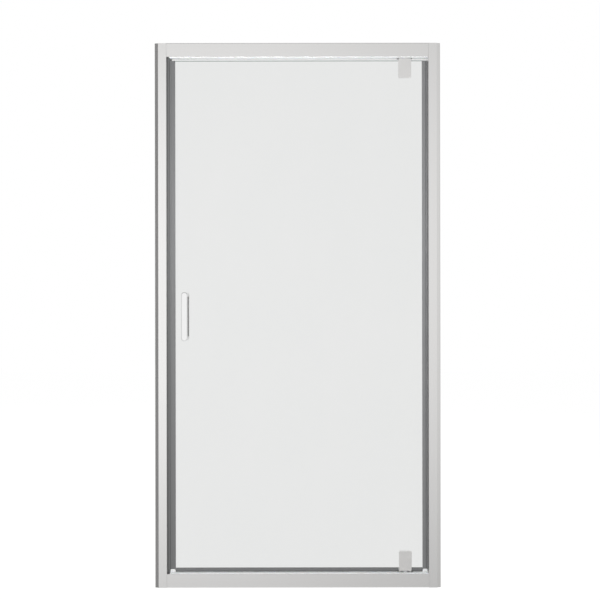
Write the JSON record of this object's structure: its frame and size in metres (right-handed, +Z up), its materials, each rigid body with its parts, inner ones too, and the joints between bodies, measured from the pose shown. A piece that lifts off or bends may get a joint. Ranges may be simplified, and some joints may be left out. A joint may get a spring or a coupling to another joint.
{
  "type": "pivot shower door",
  "caption": "Framed pivot shower door: silver aluminium frame with telescoping wall profiles, clear glass leaf on clamp pivots, magnetic seals and a pill-shaped pull handle.",
  "frame": {"origin": "middle of the threshold's underside, on the frame's middle plane", "axes": "+X to the pivot side, +Y into the shower, +Z up; the leaf is closed"},
  "size_m": [0.971, 0.0641, 1.85],
  "materials": {
    "bright_aluminium": "polished silver anodised",
    "clear_glass": "clear toughened",
    "grey_seal": "semi-gloss grey PVC",
    "magnet_strip": "matte",
    "handle_chrome": "polished",
    "clamp_chrome": "satin",
    "white_plastic": "glossy moulded",
    "clear_plastic": "translucent moulded",
    "grey_plastic": "moulded",
    "gasket_rubber": "matte",
    "stainless": "machined",
    "cast_zinc": "bare casting"
  },
  "bodies": {
    "wall_left": {"wall_profile_left": "bright_aluminium", "wall_cap_left": "white_plastic"},
    "frame": {"strike_jamb": "bright_aluminium", "hinge_jamb": "bright_aluminium", "header_rail": "bright_aluminium", "threshold_rail": "bright_aluminium", "header_strip": "white_plastic", "threshold_strip": "white_plastic", "rail_screws": "stainless", "header_pivot_block": "cast_zinc", "threshold_pivot_block": "cast_zinc", "pivot_block_screws": "stainless", "top_pivot_bush": "grey_plastic", "bottom_pivot_bush": "grey_plastic", "strike_jamb_seal": "grey_seal", "jamb_magnet": "magnet_strip", "clamp_screws": "stainless", "clamp_nuts": "stainless", "clamp_screw_caps": "white_plastic"},
    "wall_right": {"wall_profile_right": "bright_aluminium", "wall_cap_right": "white_plastic"},
    "door": {"bottom_clamp_body": "clamp_chrome", "bottom_clamp_bolts": "stainless", "bottom_clamp_gaskets": "gasket_rubber", "bottom_clamp_plate": "clamp_chrome", "bottom_pivot_pin": "stainless", "bottom_seal_long": "grey_seal", "bottom_seal_short": "grey_seal", "bottom_thrust_washer": "white_plastic", "clamp_sleeves": "clear_plastic", "door_glass": "clear_glass", "door_magnet": "magnet_strip", "handle_grip": "handle_chrome", "handle_plate": "handle_chrome", "handle_screws": "stainless", "handle_sleeves": "clear_plastic", "handle_washers": "clear_plastic", "hinge_edge_seal": "grey_seal", "hinge_end_cap": "white_plastic", "strike_edge_seal": "grey_seal", "strike_end_cap": "white_plastic", "top_clamp_body": "clamp_chrome", "top_clamp_bolts": "stainless", "top_clamp_gaskets": "gasket_rubber", "top_clamp_plate": "clamp_chrome", "top_pivot_pin": "stainless"}
  },
  "joints": [
    {"name": "width_adjust_left", "type": "slide", "parent": "wall_left", "child": "frame", "axis": [1, 0, 0], "range_m": [-0.0055, 0.0125]},
    {"name": "width_adjust_right", "type": "slide", "parent": "frame", "child": "wall_right", "axis": [1, 0, 0], "range_m": [-0.0055, 0.0125]},
    {"name": "door_pivot", "type": "hinge", "parent": "frame", "child": "door", "pos_m": [0.366, 0, 0], "axis": [0, 0, 1], "range_deg": [0, 100]}
  ]
}
